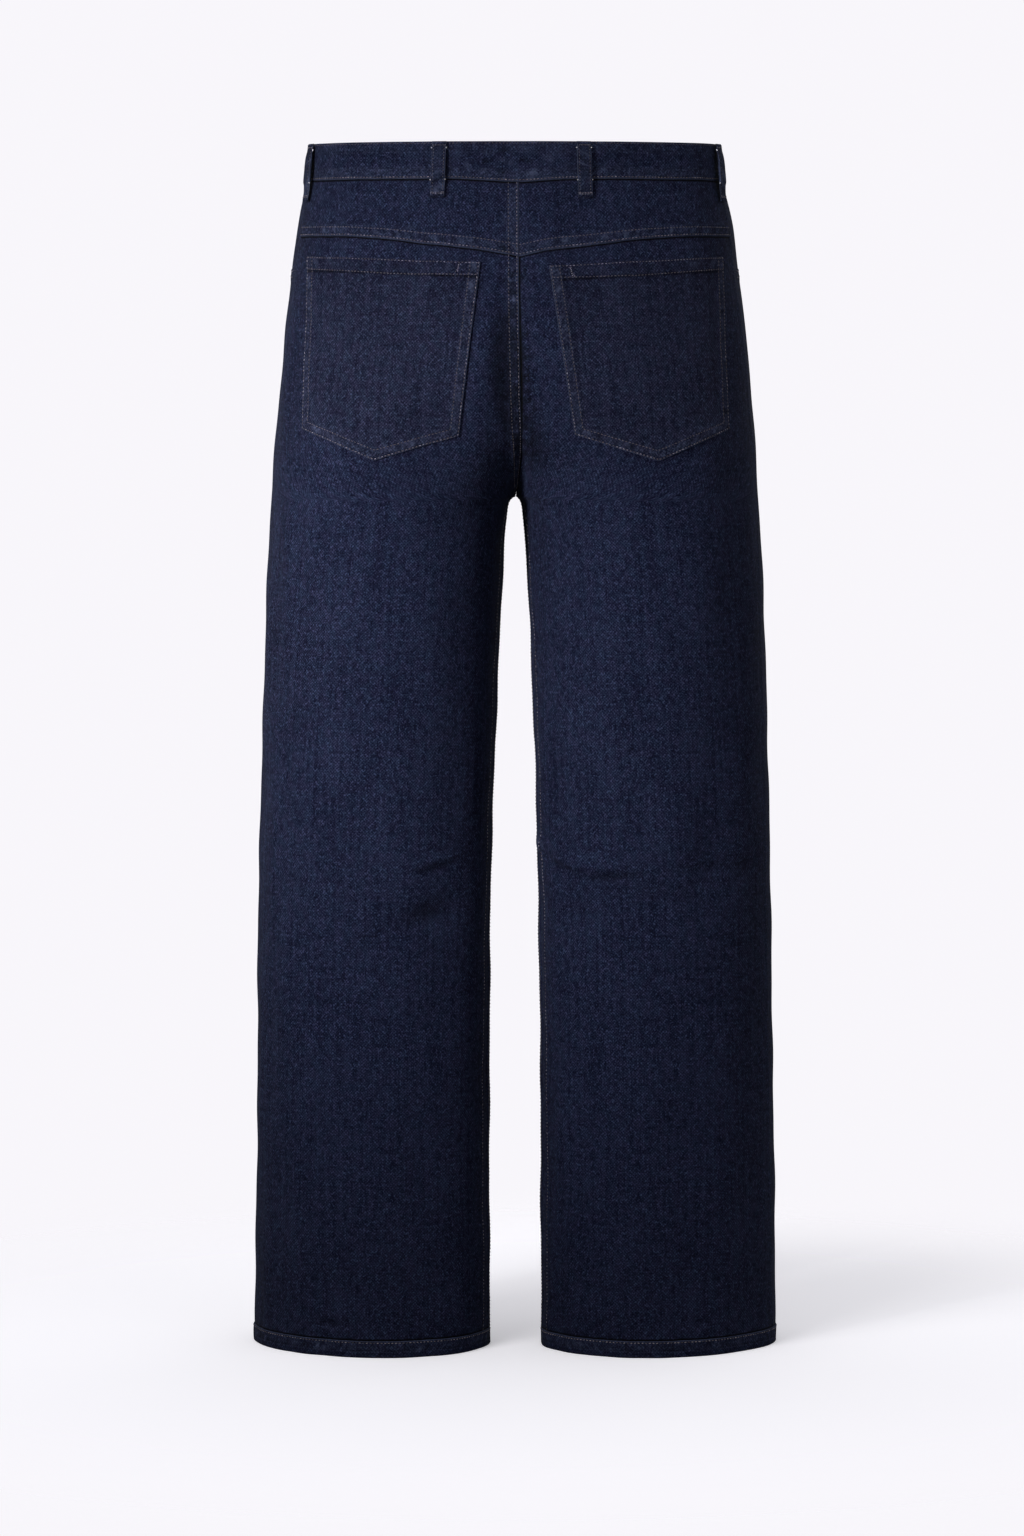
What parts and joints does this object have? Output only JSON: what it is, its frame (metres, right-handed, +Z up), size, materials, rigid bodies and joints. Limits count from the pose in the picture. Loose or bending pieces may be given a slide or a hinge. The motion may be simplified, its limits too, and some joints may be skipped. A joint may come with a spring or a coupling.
{
  "type": "wide-leg jeans",
  "caption": "Hollow wide-leg jeans standing on their hems, filled out with no wearer: walls for panels, yokes, waistband, patch pockets, belt loops, fly and hems",
  "frame": {"origin": "on the floor, in the middle of the garment's overall box, between the two hems", "axes": "+Z up from hems to waist; +X towards the wearer's left; +Y towards the seat, so the front faces -Y"},
  "size_m": [0.4652, 0.2506, 1.0575],
  "materials": {
    "denim": "dark indigo denim twill, matt, with fine pale specks",
    "pocket_denim": "the same twill, a little greyer",
    "zip_tape": "plain dark woven tape",
    "button_metal": "dull aged brass"
  },
  "bodies": {
    "root": {"back_panel_left": "denim", "back_panel_right": "denim", "front_panel_left": "denim", "front_panel_right": "denim", "back_yoke_left": "denim", "back_yoke_right": "denim", "front_pocket_facing_left": "denim", "front_pocket_facing_right": "denim", "waistband": "denim", "hem_left": "denim", "hem_right": "denim", "back_pocket_left": "pocket_denim", "back_pocket_right": "pocket_denim", "belt_loop_back_left": "denim", "belt_loop_back_right": "denim", "belt_loop_side_left": "denim", "belt_loop_side_right": "denim", "belt_loop_front_left": "denim", "belt_loop_front_right": "denim", "fly_lap": "denim", "fly_zip": "zip_tape", "waist_button": "button_metal"}
  },
  "joints": []
}
